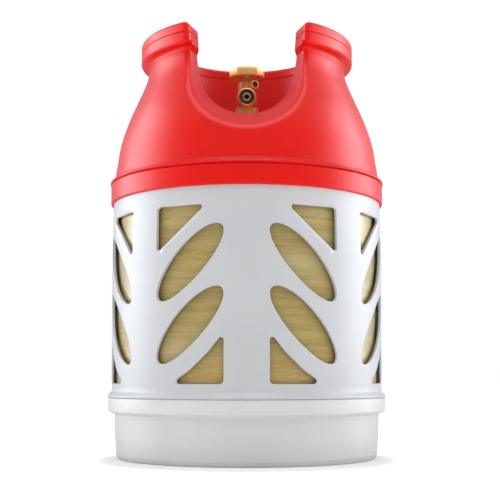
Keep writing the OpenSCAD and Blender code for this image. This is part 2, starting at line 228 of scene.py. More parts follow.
def lathe(outline, around=192, wobble=None):
    """Points and faces of a closed outline of (radius, height) turned about Z."""
    angles = np.linspace(0, 2 * math.pi, around, endpoint=False)
    r, z = np.array(outline, float).T
    radii = np.repeat(r[:, None], around, 1)
    if wobble:
        radii = wobble(radii, z[:, None], angles[None, :])
    points = np.stack([radii * np.cos(angles), radii * np.sin(angles), np.repeat(z[:, None], around, 1)], -1)
    index = np.arange(len(r) * around).reshape(len(r), around)
    below, above = index, np.roll(index, -1, 0)
    faces = np.stack([below, np.roll(below, -1, 1), np.roll(above, -1, 1), above], -1).reshape(-1, 4)
    points = points.reshape(-1, 3)
    poles = np.flatnonzero(r == 0)
    for row in poles:
        index[row] = index[row, 0]
    merged = np.arange(len(points))
    for row in poles:
        merged[row * around:(row + 1) * around] = row * around
    faces = merged[faces]
    faces = [list(dict.fromkeys(f)) for f in faces.tolist()]
    return points, [f for f in faces if len(f) > 2]


def pale_plastic(name, tone, warm):
    """Natural white polyethylene with a fine moulded grain and faint cloudiness."""
    material, flow, shader = finish(name, tone, roughness=0.42, specular_ior_level=0.45)
    cloud = flow.noise(14.0, 3.0)
    feed(shader, "Base Color", cloud.step(0.3, 0.75).mixed(tone, warm))
    grain = flow.noise(1400.0, 2.0)
    feed(shader, "Roughness", 0.38 + flow.noise(60.0, 4.0) * 0.12 + grain * 0.04)
    feed(shader, "Normal", bump(flow, grain + flow.noise(90.0) * 1.5, 0.035, 0.5))
    return material


cup_white = pale_plastic("cup_white", (0.66, 0.66, 0.645), (0.63, 0.63, 0.61))
FOOT_R, CUP_TOP, BAND_R, LIP_R = 140, 65.1, 151.6, 152.5
cup_outline = rounded([
    (0, 2.5, 0), (FOOT_R - 16, 2.5, 0.5), (FOOT_R - 15, 0, 0.5), (FOOT_R, 0, 2.5), (142.4, 5, 5),
    (142.9, 12, 0), (144.2, 29, 0), (144.6, 47.8, 1.2), (BAND_R - 2.2, 49.2, 0.8), (BAND_R, 50.6, 1.4),
    (BAND_R, CUP_TOP, 0.9), (147.1, CUP_TOP, 0.4), (147.1, 53.5, 0), (140.6, 45.7, 0), (138.6, 12, 4),
    (FOOT_R - 4, 5.5, 0), (0, 5.5, 0)])
piece("foot_cup", *lathe(cup_outline, 256), cup_white, "tank", "pale_plastic", ["base_cup"])


# ---------------------------------------------------------------- Wound vessel
# Glass roving soaked in amber resin is wound over the plastic liner: helical
# layers over the heads, then tight hoop layers round the straight part.
SHELL_R, SHELL_T, HEAD_POWER = 142.5, 5.5, 2.5
POLES, TANGENTS, TAIL_R, NECK_R = (8, 360), (66, 298), 9, 17


def vessel_outline(depth, tail, neck, steps=40):
    """Rising outline of the vessel, inset by depth, open at both poles."""
    radius = SHELL_R - depth
    sweep = np.linspace(0, 1, steps)
    low = [(tail, POLES[0] + depth)]
    high = [(neck, POLES[1] - depth)]
    for side, pole, tangent, mouth in ((low, POLES[0] + depth, TANGENTS[0], tail),
                                       (high, POLES[1] - depth, TANGENTS[1], neck)):
        for t in np.sin(sweep * math.pi / 2)[::-1]:
            r = radius * (1 - t ** HEAD_POWER) ** (1 / HEAD_POWER)
            if r > mouth + 1:
                side.append((r, tangent + (pole - tangent) * t))
    return low + high[1:][::-1] + high[:1]


def wound_glass():
    """Amber hoop winding: fine strands, pale dry patches, crossing strands near the heads."""
    material, flow, shader = finish("wound_glass", (0.38, 0.28, 0.11), roughness=0.36,
                                    specular_ior_level=0.55, coat_weight=0.25, coat_roughness=0.25)
    strands = flow.noise(30.0, 5.0, flow.stretched(1.0, 1.0, 34.0), 0.65)
    tows = flow.noise(9.0, 3.0, flow.stretched(0.7, 0.7, 22.0))
    rising = flow.node("Mapping", {}, {0: flow.place(), 2: (0.42, 0.0, 0.0)})
    falling = flow.node("Mapping", {}, {0: flow.place(), 2: (-0.42, 0.0, 0.0)})
    crossing = (flow.noise(26.0, 3.0, flow.stretched(1.0, 1.0, 26.0, rising))
                + flow.noise(26.0, 3.0, flow.stretched(1.0, 1.0, 26.0, falling))) * 0.5
    height = flow.node("SeparateXYZ", {}, {0: flow.place()}, out=2)
    heads = height.step(0.222, 0.262) + (1 - height.step(0.084, 0.112))
    pale = flow.noise(7.5, 3.0, flow.stretched(1.0, 1.0, 2.2)).step(0.50, 0.74)
    deep = flow.noise(5.0, 2.0, flow.stretched(1.0, 1.0, 1.6)).step(0.48, 0.70)
    warm = 1 - height.step(0.075, 0.125)
    colour = strands.step(0.30, 0.70).mixed((0.285, 0.200, 0.050), (0.430, 0.325, 0.105))
    colour = (tows.step(0.35, 0.70) * 0.45).mixed(colour, (0.50, 0.40, 0.155))
    colour = (deep * 0.35).mixed(colour, (0.34, 0.235, 0.08))
    colour = (pale * 0.55).mixed(colour, (0.50, 0.42, 0.24))
    colour = (warm * 0.55).mixed(colour, (0.50, 0.29, 0.065))
    colour = (crossing.step(0.50, 0.62) * heads * 0.35).mixed(colour, (0.56, 0.47, 0.28))
    feed(shader, "Base Color", colour)
    feed(shader, "Roughness", 0.28 + strands * 0.22)
    feed(shader, "Normal", bump(flow, strands * 1.0 + tows * 0.6 + crossing * heads * 0.8, 0.35, 0.6))
    return material


shell_outline = vessel_outline(0, TAIL_R, NECK_R) + vessel_outline(SHELL_T, TAIL_R, NECK_R)[::-1]
piece("wound_shell", *lathe(shell_outline, 256), wound_glass(), "tank", "wound_glass_fibre", ["vessel_shell"])


# ---------------------------------------------------------------- Sleeve
# A moulded tube clips over the vessel. Eight columns of windows show the
# winding: two leaves and two rounded corner triangles in each, every second
# column mirrored. Its foot bead covers the joint with the cup.
EIGHTH = math.pi / 4
LATTICE, WALL_IN, LAYOUT_R = 20, 146.0, 149.0
WINDOW_LOW, WINDOW_HIGH, EDGE_ROUND = 76.0, 262.0, 0.9
BARREL = np.array([(74.3, 148.1), (115, 148.5), (150, 148.9), (185, 149.1), (218, 149.5),
                   (242, 149.1), (262, 148.5), (300, 148.3)])
LEAF = {"half_length": 50.2, "half_width": 16.6, "tilt": math.radians(-46.4), "side": 1.4}
LEAF_HEIGHTS = (137.8, 200.1)


def barrel_r(z):
    return np.interp(z, *BARREL.T)


def leaf(z, sides=80):
    t = np.linspace(0, 2 * math.pi, sides, endpoint=False)
    u, v = LEAF["half_length"] * np.cos(t), LEAF["half_width"] * np.sin(t)
    c, s = math.cos(LEAF["tilt"]), math.sin(LEAF["tilt"])
    return np.stack([LEAF["side"] + u * c - v * s, z + u * s + v * c], -1)


def spread(outline, away):
    """The outline moved outwards by away."""
    ahead = np.roll(outline, -1, 0) - outline
    along = ahead / np.linalg.norm(ahead, axis=1)[:, None]
    along = along + np.roll(along, 1, 0)
    along /= np.linalg.norm(along, axis=1)[:, None]
    return outline + np.stack([along[:, 1], -along[:, 0]], -1) * away


def inside(points, outline):
    """Which points lie inside a closed outline."""
    x, y = points[:, :1], points[:, 1:]
    (ax, ay), (bx, by) = outline.T, np.roll(outline, -1, 0).T
    crosses = ((ay > y) != (by > y)) & (x < (bx - ax) * (y - ay) / (by - ay + 1e-12) + ax)
    return crosses.sum(1) % 2 == 1


TOP_CORNER = rounded([(-18, 257.5, 2.8), (38.7, 210.2, 2.8), (38.7, 257.5, 4)], 8)
LOW_CORNER = rounded([(-35.4, 80.2, 4), (20.8, 80.2, 2.8), (-0.4, 93.6, 30), (-20.6, 111.9, 30),
                      (-35.4, 131, 2.8)], 8)
windows = [leaf(LEAF_HEIGHTS[0]), leaf(LEAF_HEIGHTS[1]), np.array(TOP_CORNER), np.array(LOW_CORNER)]
# Laid out flat: across is the distance round the barrel from the column's edge.
windows = [np.stack([LAYOUT_R * (EIGHTH / 2 + np.arcsin(w[:, 0] / LAYOUT_R)), w[:, 1]], -1) for w in windows]
across = np.linspace(0, LAYOUT_R * EIGHTH, LATTICE + 1)
rows = np.linspace(WINDOW_LOW, WINDOW_HIGH, 36)
flat = np.stack(np.meshgrid(across, rows, indexing="ij"), -1).reshape(-1, 2)
for window in windows:
    near = spread(window, EDGE_ROUND + 1.4)
    edge = (flat[:, 0] < 1) | (flat[:, 0] > across[-1] - 1)
    flat = flat[~inside(flat, near) | edge]
loops, start = [], len(flat)
for window in windows:
    loops.append(np.arange(start, start + len(window)))
    start += len(window)
flat = np.concatenate([flat] + [spread(w, EDGE_ROUND) for w in windows])
edges = [(int(a), int(b)) for loop in loops for a, b in zip(loop, np.roll(loop, -1))]
made = geometry.delaunay_2d_cdt([Vector(p) for p in flat], edges, [], 0, 1e-6)
skin_flat, skin_faces = np.array([tuple(p) for p in made[0]]), np.array([f for f in made[2] if len(f) == 3])
middles = skin_flat[skin_faces].mean(1)
open_faces = np.zeros(len(middles), bool)
for window in windows:
    open_faces |= inside(middles, spread(window, EDGE_ROUND - 0.01))
skin_faces = skin_faces[~open_faces]
a, b, c = (skin_flat[skin_faces[:, k]] for k in range(3))
turns_right = (b - a)[:, 0] * (c - a)[:, 1] < (b - a)[:, 1] * (c - a)[:, 0]
skin_faces[turns_right] = skin_faces[turns_right][:, ::-1]


def on_barrel(flat_points, depth, mirrored, quarter):
    """Flat points wrapped onto one eighth of the sleeve; depth None means its inner wall."""
    angle = flat_points[:, 0] / LAYOUT_R
    if mirrored:
        angle = 2 * EIGHTH - angle
    angle = angle + quarter * 2 * EIGHTH - math.pi / 2
    z = flat_points[:, 1]
    r = np.full(len(z), WALL_IN) if depth is None else barrel_r(z) - depth
    return np.stack([r * np.cos(angle), r * np.sin(angle), z], -1)


sleeve_points, sleeve_faces, used = [], [], 0
arc = np.linspace(math.pi / 2, 0, 6)
for quarter in range(4):
    for mirrored in (False, True):
        flip = -1 if mirrored else 1
        count = len(skin_flat)
        sleeve_points += [on_barrel(skin_flat, depth, mirrored, quarter) for depth in (0, None)]
        sleeve_faces += (skin_faces[:, ::flip] + used).tolist()
        sleeve_faces += (skin_faces[:, ::-flip] + used + count).tolist()
        used += 2 * count
        for window in windows:
            rings = []
            for t in arc:
                edge_line = spread(window, EDGE_ROUND * (1 - math.cos(t)))
                rings.append(on_barrel(edge_line, EDGE_ROUND * (1 - math.sin(t)), mirrored, quarter))
            rings += [on_barrel(window, None, mirrored, quarter),
                      on_barrel(spread(window, EDGE_ROUND), None, mirrored, quarter)]
            sleeve_points += rings
            size = len(window)
            index = np.arange(len(rings) * size).reshape(len(rings), size) + used
            used += index.size
            near, far = index[:-1], index[1:]
            quads = np.stack([near, np.roll(near, -1, 1), np.roll(far, -1, 1), far], -1)
            sleeve_faces += quads.reshape(-1, 4)[:, ::flip].tolist()

foot_and_top = [
    rounded([(WALL_IN, WINDOW_LOW, 0), (WALL_IN, 72, 0), (143.6, 68, 0), (143.6, 54, 0.5), (147, 54, 0.5),
             (147, 65.3, 0), (LIP_R, 65.3, 0.5), (LIP_R, 67.3, 1.0), (148.8, 71.3, 2),
             (barrel_r(75), 75, 0), (barrel_r(WINDOW_LOW), WINDOW_LOW, 0)], 4),
    [(barrel_r(WINDOW_HIGH), WINDOW_HIGH), (barrel_r(276), 276), (148.3, 289.6), (147.9, 290),
     (WALL_IN, 290), (WALL_IN, WINDOW_HIGH)]]
for outline in foot_and_top:
    around = 8 * LATTICE
    points, faces = lathe(outline, around)
    closing = (len(outline) - 1) * around
    sleeve_points.append(points)
    sleeve_faces += [[v + used for v in f] for f in faces if not (min(f) < around and max(f) >= closing)]
    used += len(points)
sleeve_points = np.concatenate(sleeve_points)
_, first, merged = np.unique(sleeve_points.round(3), axis=0, return_index=True, return_inverse=True)
merged = merged.ravel()
sleeve_faces = [list(dict.fromkeys(merged[f].tolist())) for f in sleeve_faces]
sleeve_white = pale_plastic("sleeve_white", (0.54, 0.545, 0.56), (0.515, 0.52, 0.535))
sleeve = piece("windowed_sleeve", sleeve_points[first], [f for f in sleeve_faces if len(f) > 2], sleeve_white,
               "tank", "pale_plastic", ["sleeve"], crease=50)
sleeve.modifiers.new("even_shading", "WEIGHTED_NORMAL").keep_sharp = True


# ---------------------------------------------------------------- Shroud
# One red moulding: a band that grips the top of the sleeve, a dome over the
# vessel's shoulder, a round well for the valve, and a notch with a scooped
# lip at the front. Its walls are 4 mm all over, open underneath.
def soft_max(a, b, blend):
    """The larger of two distances, with the crease between them rounded."""
    near = np.maximum(blend - np.abs(a - b), 0) / blend
    return np.maximum(a, b) + near * near * blend / 4


def soft_min(a, b, blend):
    return -soft_max(-a, -b, blend)


def slope(field, points, reach=0.04):
    """How the distance changes along X, Y and Z."""
    shifts = np.eye(3) * reach
    return np.stack([field(points + s) - field(points - s) for s in shifts], -1) / (2 * reach)


def netted(field, grid, reach):
    """Points, quads and normals of the surface where field is zero. The grid's first way closes on itself."""
    values = field(grid)
    full = values < 0

    def corner(a, c):
        a = np.roll(a, -c[0], 0)
        return a[:, c[1]:a.shape[1] - 1 + c[1], c[2]:a.shape[2] - 1 + c[2]]

    corners = [(i, j, k) for i in (0, 1) for j in (0, 1) for k in (0, 1)]
    count = sum(corner(full, c).astype(np.int8) for c in corners)
    active = (count > 0) & (count < 8)
    cell = np.full(active.shape, -1)
    cell[active] = np.arange(active.sum())
    value = {c: corner(values, c)[active] for c in corners}
    place = {c: corner(grid, c)[active] for c in corners}
    total, hits = np.zeros((active.sum(), 3)), np.zeros((active.sum(), 1))
    for c in corners:
        for way in range(3):
            if c[way]:
                continue
            d = tuple(1 if n == way else v for n, v in enumerate(c))
            cross = (value[c] < 0) != (value[d] < 0)
            share = (value[c][cross] / (value[c][cross] - value[d][cross]))[:, None]
            total[cross] += place[c][cross] * (1 - share) + place[d][cross] * share
            hits[cross] += 1
    points = total / hits
    start = points.copy()
    for _ in range(3):
        grad = slope(field, points)
        step = field(points)[:, None] * grad / np.maximum((grad ** 2).sum(-1), 0.2)[:, None]
        points = start + np.clip(points - step - start, -reach, reach)
    quads = []
    i, j, k = np.nonzero((full != np.roll(full, -1, 0))[:, 1:-1, 1:-1])
    j, k = j + 1, k + 1
    quads.append((full[i, j, k], cell[i, j - 1, k - 1], cell[i, j, k - 1], cell[i, j, k], cell[i, j - 1, k]))
    i, j, k = np.nonzero((full[:, :-1] != full[:, 1:])[:, :, 1:-1])
    k = k + 1
    quads.append((full[i, j, k], cell[i - 1, j, k - 1], cell[i - 1, j, k], cell[i, j, k], cell[i, j, k - 1]))
    i, j, k = np.nonzero((full[:, :, :-1] != full[:, :, 1:])[:, 1:-1, :])
    j = j + 1
    quads.append((full[i, j, k], cell[i - 1, j - 1, k], cell[i, j - 1, k], cell[i, j, k], cell[i - 1, j, k]))
    faces = []
    for keep, *ring in quads:
        ring = np.stack(ring, -1)
        ring[~keep] = ring[~keep][:, ::-1]
        faces.append(ring)
    normals = slope(field, points)
    normals /= np.maximum(np.linalg.norm(normals, axis=1), 1e-9)[:, None]
    return points, np.concatenate(faces), normals


def grown(name, shape, material, body, replaced):
    """A piece from netted points whose shading follows the true surface."""
    points, faces, normals = shape
    mesh = bpy.data.meshes.new(name)
    mesh.from_pydata((points * MM).tolist(), [], faces.tolist())
    mesh.validate()
    mesh.shade_smooth()
    mesh.normals_split_custom_set_from_vertices(normals.tolist())
    mesh.materials.append(material)
    made = bpy.data.objects.new(name, mesh)
    bpy.context.collection.objects.link(made)
    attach(made, body)
    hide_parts(*replaced)
    return made


def smooth_line(knots, count):
    """A smooth run of points through the knots."""
    knots = np.array(knots, float)
    ends = np.concatenate([knots[:1], knots, knots[-1:]])
    made = []
    for a, b, c, d in zip(ends, ends[1:], ends[2:], ends[3:]):
        for t in np.linspace(0, 1, count, endpoint=False):
            made.append(0.5 * (2 * b + (c - a) * t + (2 * a - 5 * b + 4 * c - d) * t * t
                               + (3 * b - a - 3 * c + d) * t ** 3))
    return np.array(made + [knots[-1]])


BAND_BASE, TIER, TOP, RING_R, WELL_R = 276.1, 448.6, 460.0, 120.0, 85.0
WELL_FLOOR, FLOOR_T, WALL, NECK_HOLE_R = 361.0, 3.5, 4.0, 17.3
NOTCH_R, NOTCH_Z, SCOOP_DEPTH, SCOOP_WIDER, SCOOP_LOWER = 50.0, 407.5, 30.0, 9.0, 11.0
band_line = np.array([
    (150.6, 276.1), (151.35, 276.6), (151.6, 277.4), (151.6, 296.5), (151.1, 297.1), (150.2, 297.5),
    (150.2, 297.9), (151.6, 298.3), (152.3, 298.7), (152.5, 299.3), (152.45, 300.0), (152.0, 300.6),
    (150.6, 301.1), (149.3, 301.6), (148.6, 302.3), (148.2, 303.3)])
dome_line = smooth_line([(147.6, 304.6), (145.2, 320), (141.2, 344), (133.4, 368), (123.7, 391),
                         (114.6, 413), (110.6, 430), (110.6, 450)], 12)
outer_line = np.concatenate([band_line, dome_line])
facing = 1 / np.sqrt(1 + np.gradient(outer_line[:, 0], outer_line[:, 1]) ** 2)
facing = np.maximum(facing, 0.6)


def box_distance(r, z, r_low, r_high, z_low, z_high, corner):
    dr = np.maximum(r_low - r, r - r_high) + corner
    dz = np.maximum(z_low - z, z - z_high) + corner
    return np.minimum(np.maximum(dr, dz), 0) + np.hypot(np.maximum(dr, 0), np.maximum(dz, 0)) - corner


def notch_distance(x, y, z, r):
    """Distance to the front notch, which widens and deepens towards the outside."""
    outside = np.where(z < 431, np.interp(z, outer_line[:, 1], outer_line[:, 0]),
                       np.interp(z, (431, 437), (110.6, RING_R)))
    scoop = np.clip(1 - (outside - r) / SCOOP_DEPTH, 0, 1)
    sill = np.clip((107 - r) / 26, 0, 1)
    centre = NOTCH_Z - SCOOP_LOWER * scoop + 7.2 * sill
    half = NOTCH_R + SCOOP_WIDER * scoop
    wider = 3 * np.clip((z - NOTCH_Z) / (TOP - NOTCH_Z), 0, 1)
    slot = np.where(z > centre, np.abs(x) - half - wider, np.hypot(x, z - centre) - half)
    return np.maximum(slot, y + 25)


def shroud_distance(p):
    x, y, z = p[..., 0], p[..., 1], p[..., 2]
    r = np.hypot(x, y)
    dome = (r - np.interp(z, outer_line[:, 1], outer_line[:, 0])) * np.interp(z, outer_line[:, 1], facing)
    flange = box_distance(r, z, 60, RING_R, 435.8, 500, 3.2)
    body = soft_min(dome, flange, 5)
    well = soft_max(r - WELL_R + (TIER - z) * 0.0595, WELL_FLOOR + FLOOR_T - z, 10)
    notch = notch_distance(x, y, z, r)
    solid = soft_max(soft_max(body, -well, 1.0), -notch, 6.5)
    solid = soft_max(solid, z - TIER, 0.6)
    cavity = np.maximum(np.maximum(body + WALL, WALL - well), np.maximum(WALL - notch, z - TIER + 6.6))
    solid = np.maximum(solid, -cavity)
    return np.maximum(np.maximum(solid, NECK_HOLE_R - r), BAND_BASE - z)


def polar_grid(angles, heights, radii):
    a, z, r = np.meshgrid(angles, heights, radii, indexing="ij")
    return np.stack([r * np.cos(a), r * np.sin(a), z], -1)


coarse = 1
front_angles = np.radians(np.arange(-130, -50, 0.55 * coarse))
other_angles = np.radians(np.arange(-50, 230, 1.4 * coarse))
angles = np.concatenate([front_angles, other_angles])
heights = np.concatenate([np.arange(275.6, 305, 0.45 * coarse), np.arange(305, 430, 1.5 * coarse),
                          np.arange(430, 450.3, 0.8 * coarse)])
radii = np.concatenate([np.arange(15, 78, 3.0), np.arange(78, 154, 1.0 * coarse)])


def red_plastic(name, tone, deep):
    """Red polypropylene, satin, with a fine moulded grain and light handling marks."""
    material, flow, shader = finish(name, tone, roughness=0.34, specular_ior_level=0.24)
    cloud = flow.noise(11.0, 3.0)
    rubbed = flow.noise(240.0, 5.0, flow.stretched(1.0, 1.0, 0.25), 0.7).step(0.60, 0.78)
    clouded = cloud.step(0.3, 0.75).mixed(tone, deep)
    feed(shader, "Base Color", (rubbed * 0.05).mixed(clouded, (0.85, 0.20, 0.16)))
    grain = flow.noise(1500.0, 2.0)
    feed(shader, "Roughness", 0.30 + flow.noise(45.0, 4.0) * 0.12 + grain * 0.05)
    feed(shader, "Normal", bump(flow, grain + flow.noise(80.0) * 1.5, 0.05, 0.8))
    return material


shroud_red = red_plastic("shroud_red", (0.72, 0.005, 0.002), (0.68, 0.004, 0.002))
grown("shroud_moulding", netted(shroud_distance, polar_grid(angles, heights, radii), 0.8), shroud_red,
      "tank", ["shroud"])


# ---------------------------------------------------------------- Ring cap
# A C-shaped cap, snapped into a groove in the top of the shroud, closes the
# lift ring and gives the hand a rounded edge.
def cap_distance(p):
    x, y, z = p[..., 0], p[..., 1], p[..., 2]
    r = np.hypot(x, y)
    cap = soft_max(box_distance(r, z, WELL_R, RING_R, 400, TOP, 4.0), -notch_distance(x, y, z, r), 6.5)
    cap = soft_max(cap, TIER + 0.25 - z, 0.6)
    tongue = np.maximum(box_distance(r, z, 98, 104, TIER - 3.9, TIER + 1, 0.4), -notch_distance(x, y, z, r))
    return np.minimum(cap, tongue)


cap_heights = np.concatenate([np.arange(444, 448.3, 1.0), np.arange(448.3, 461, 0.55 * coarse)])
cap_red = red_plastic("cap_red", (0.75, 0.007, 0.003), (0.70, 0.006, 0.003))
cap_radii = np.arange(82, 123, 0.9 * coarse)
grown("ring_cap", netted(cap_distance, polar_grid(angles, cap_heights, cap_radii), 0.6), cap_red,
      "tank", ["handle_cap"])


# ---------------------------------------------------------------- Valve body
# A hot-stamped brass forging: square collar, round body, threaded outlet to
# the front and a small relief port to the front right, machined where it seals.
COLLAR_LOW, COLLAR_TOP, COLLAR_W = 380, 388.5, 27
BODY_R, BODY_TOP, STEM_R, STEM_LOW, CHAMBER_R = 10.5, 421, 12.5, 352, 6.2
OUTLET_Z, OUTLET_R, OUTLET_REACH, GASKET_R, OUTLET_BORE = 398, 10.9, 26, 8.65, 3.1
RELIEF_Z, RELIEF_R, RELIEF_BORE, RELIEF_REACH, RELIEF_SEAT = 415.5, 5.2, 3.4, 17, 10.3
RELIEF_TURN = math.radians(35)
THREAD_PITCH, THREAD_DEPTH = 1.81, 1.0


def tube(side, height, radius, near, far, blend=0.6):
    """Distance to a cylinder along height with softened rims."""
    return soft_max(side - radius, np.maximum(near - height, height - far), blend)


def valve_distance(p):
    x, y, z = p[..., 0], p[..., 1], p[..., 2]
    r = np.hypot(x, y)
    square = np.maximum(np.abs(x), np.abs(y)) - COLLAR_W / 2
    chamfer = (np.abs(x) + np.abs(y)) / math.sqrt(2) - COLLAR_W / 2 - 3.1
    collar = soft_max(soft_max(square, chamfer, 0.8), np.abs(z - (COLLAR_LOW + COLLAR_TOP) / 2)
                      - (COLLAR_TOP - COLLAR_LOW) / 2, 1.2)
    trunk = tube(r, z, BODY_R - 0.25 + 0.12 * np.cos((z - 404) * 0.35), COLLAR_LOW, BODY_TOP, 1.2)
    outlet_side = np.hypot(x, z - OUTLET_Z)
    turn = np.arctan2(z - OUTLET_Z, x) / (2 * math.pi)
    tooth = np.abs(((y / THREAD_PITCH + turn) % 1) - 0.5) * 2
    thread = THREAD_DEPTH * np.clip(tooth * 1.25 - 0.12, 0, 1) * np.clip((-y - 13.6) / 0.8, 0, 1)
    outlet = soft_max(outlet_side - OUTLET_R + thread, np.maximum(-y - OUTLET_REACH, y), 0.5)
    outlet = soft_max(outlet, (outlet_side - OUTLET_R + 1.6 - y - OUTLET_REACH) / 1.414, 0.4)
    ax, ay = math.sin(RELIEF_TURN), -math.cos(RELIEF_TURN)
    out = x * ax + y * ay
    relief_side = np.hypot(x * ay - y * ax, z - RELIEF_Z)
    relief = tube(relief_side, out, RELIEF_R, 0, RELIEF_REACH, 0.9)
    body = soft_min(trunk, outlet, 3.5)
    body = soft_min(body, relief, 2.5)
    body = soft_min(body, collar, 2.2)
    body = np.minimum(body, tube(r, z, STEM_R, STEM_LOW, COLLAR_LOW + 1))
    bores = [tube(r, z, 3.5, 300, 394.5, 0.1), tube(r, z, CHAMBER_R, 394, 430, 0.1),
             tube(outlet_side, -y, OUTLET_BORE + 0.9, 0, 40, 0.1),
             tube(outlet_side, -y, GASKET_R, OUTLET_REACH - 4, 40, 0.1),
             tube(relief_side, out, RELIEF_BORE, RELIEF_SEAT, 40, 0.1)]
    for bore in bores:
        body = soft_max(body, -bore, 0.5)
    return body


def brass(name, tone, dark, polish):
    """Brass with a thin uneven tarnish; polish sets how bright the machining is."""
    material, flow, shader = finish(name, tone, metallic=0.7, roughness=polish)
    tarnish = flow.noise(70.0, 4.0, None, 0.6).step(0.42, 0.72)
    feed(shader, "Base Color", (tarnish * 0.6).mixed(tone, dark))
    grain = flow.noise(900.0, 3.0)
    feed(shader, "Roughness", polish + tarnish * 0.14 + grain * 0.08)
    feed(shader, "Normal", bump(flow, grain + flow.noise(160.0, 2.0) * 2.0, 0.05, 0.6))
    return material


def steps(low, high, step):
    return np.arange(low, high + step, step)


forged_brass = brass("forged_brass", (0.90, 0.60, 0.20), (0.55, 0.30, 0.09), 0.34)
fine = 0.42 * coarse
valve_heights = np.concatenate([steps(350.9, 379, 1.4), steps(379.4, 421, fine)])
valve_sides, valve_depths = steps(-15.2, 15.2, fine), steps(-27.4, 15.2, fine)
valve_grid = np.stack(np.meshgrid(valve_sides, valve_depths, valve_heights, indexing="ij"), -1)
grown("valve_forging", netted(valve_distance, valve_grid, 0.35), forged_brass,
      "tank", ["valve_body"])


# ---------------------------------------------------------------- Outlet seal
# A black rubber ring lies in the outlet's face round a brass bush, so the
# regulator's nut seals against it.
def laid_along(points, turn, height):
    """Points turned about Z become points turned about the outlet's or the relief valve's axis."""
    r_side, r_up, out = points[:, 0], points[:, 1], points[:, 2]
    return np.stack([r_side * math.cos(turn) + out * math.sin(turn),
                     r_side * math.sin(turn) - out * math.cos(turn), height + r_up], -1)


def side_lathe(outline, turn, height, around=64):
    points, faces = lathe(outline, around)
    return laid_along(points, turn, height), [f[::-1] for f in faces]


def rubber(name):
    """Matt black nitrile rubber with a dusty bloom."""
    material, flow, shader = finish(name, (0.022, 0.021, 0.022), roughness=0.62)
    bloom = flow.noise(300.0, 3.0).step(0.45, 0.75)
    feed(shader, "Base Color", bloom.mixed((0.018, 0.017, 0.018), (0.045, 0.042, 0.044)))
    feed(shader, "Roughness", 0.55 + bloom * 0.2)
    feed(shader, "Normal", bump(flow, flow.noise(1100.0), 0.03, 0.5))
    return material


black_rubber = rubber("black_rubber")
turned_brass = brass("turned_brass", (0.90, 0.66, 0.33), (0.72, 0.47, 0.20), 0.18)
face = OUTLET_REACH
gasket_outline = rounded([(4.5, face - 3.9, 0.3), (8.6, face - 3.9, 0.3), (8.6, face - 0.7, 0.8),
                          (4.5, face - 0.7, 0.5)], 4)
piece("outlet_seal", *side_lathe(gasket_outline, 0, OUTLET_Z), black_rubber,
      "tank", "rubber", ["outlet_gasket"])
bush_outline = rounded([(3.1, face - 3.98, 0.2), (4.45, face - 3.98, 0.2), (4.45, face - 0.3, 0.45),
                        (3.1, face - 0.3, 0.5)], 4)
piece("outlet_ring", *side_lathe(bush_outline, 0, OUTLET_Z), turned_brass, "tank", "brass", ["outlet_bush"])


# ---------------------------------------------------------------- Relief cap
# A rubber dust cap plugs the relief port. It is pushed out when the port
# vents, so it rides on its own body.
CAP_FOOT, CAP_RIM, CAP_DISH = RELIEF_SEAT + 5.7, RELIEF_REACH + 0.2, RELIEF_REACH - 0.3
cap_outline = rounded([(0, CAP_FOOT, 0), (3.35, CAP_FOOT, 0.2), (3.35, CAP_RIM, 0.35),
                       (2.5, CAP_RIM, 0.25), (2.1, CAP_DISH, 0.2), (0, CAP_DISH, 0)], 4)
piece("port_cap", *side_lathe(cap_outline, RELIEF_TURN, RELIEF_Z), black_rubber,
      "relief_cap", "rubber", ["relief_cap"])


# ---------------------------------------------------------------- Nuts
# Hexagons with turned chamfers: the gland nut on the valve and the big nut
# that holds the shroud's floor down on the neck of the vessel.
def hexagon(across_corners, low, high, bore, shoulder=None):
    """A chamfered hexagon nut with a round bore, on an optional round shoulder."""
    apothem = across_corners * math.cos(math.pi / 6)
    around = 96
    angle = np.linspace(0, 2 * math.pi, around, endpoint=False)
    flat_r = apothem / np.cos((angle + math.pi / 6) % (math.pi / 3) - math.pi / 6)
    cut = 0.10 * across_corners
    levels = []
    if shoulder:
        levels += [(np.full(around, shoulder[0]), shoulder[1]), (np.full(around, shoulder[0]), low - 0.2),
                   (np.full(around, shoulder[0] - 0.3), low)]
    levels.append((np.minimum(flat_r, apothem), low))
    shares = (0.0, 0.33, 0.66, 1.0)
    for bottom, order in ((True, shares), (False, shares[::-1])):
        for share in order:
            rise = cut * share * 0.577
            edge_r = np.minimum(flat_r, apothem + (across_corners - apothem) * share)
            levels.append((edge_r, low + rise if bottom else high - rise))
    levels += [(np.full(around, bore + 0.4), high), (np.full(around, bore), high - 0.4)]
    levels.append((np.full(around, bore), shoulder[1] if shoulder else low))
    rings = [np.stack([r * np.cos(angle), r * np.sin(angle), np.full(around, z)], -1) for r, z in levels]
    index = np.arange(len(rings) * around).reshape(len(rings), around)
    above = np.roll(index, -1, 0)
    faces = np.stack([index, np.roll(index, -1, 1), np.roll(above, -1, 1), above], -1).reshape(-1, 4)
    return np.concatenate(rings), faces.tolist()


def plated(name, tone):
    """Zinc plated steel, faintly blue and cloudy."""
    material, flow, shader = finish(name, tone, metallic=1.0, roughness=0.32)
    cloud = flow.noise(120.0, 4.0).step(0.35, 0.7)
    feed(shader, "Base Color", cloud.mixed(tone, (0.52, 0.54, 0.55)))
    feed(shader, "Roughness", 0.26 + cloud * 0.16)
    feed(shader, "Normal", bump(flow, flow.noise(700.0, 2.0), 0.03, 0.5))
    return material


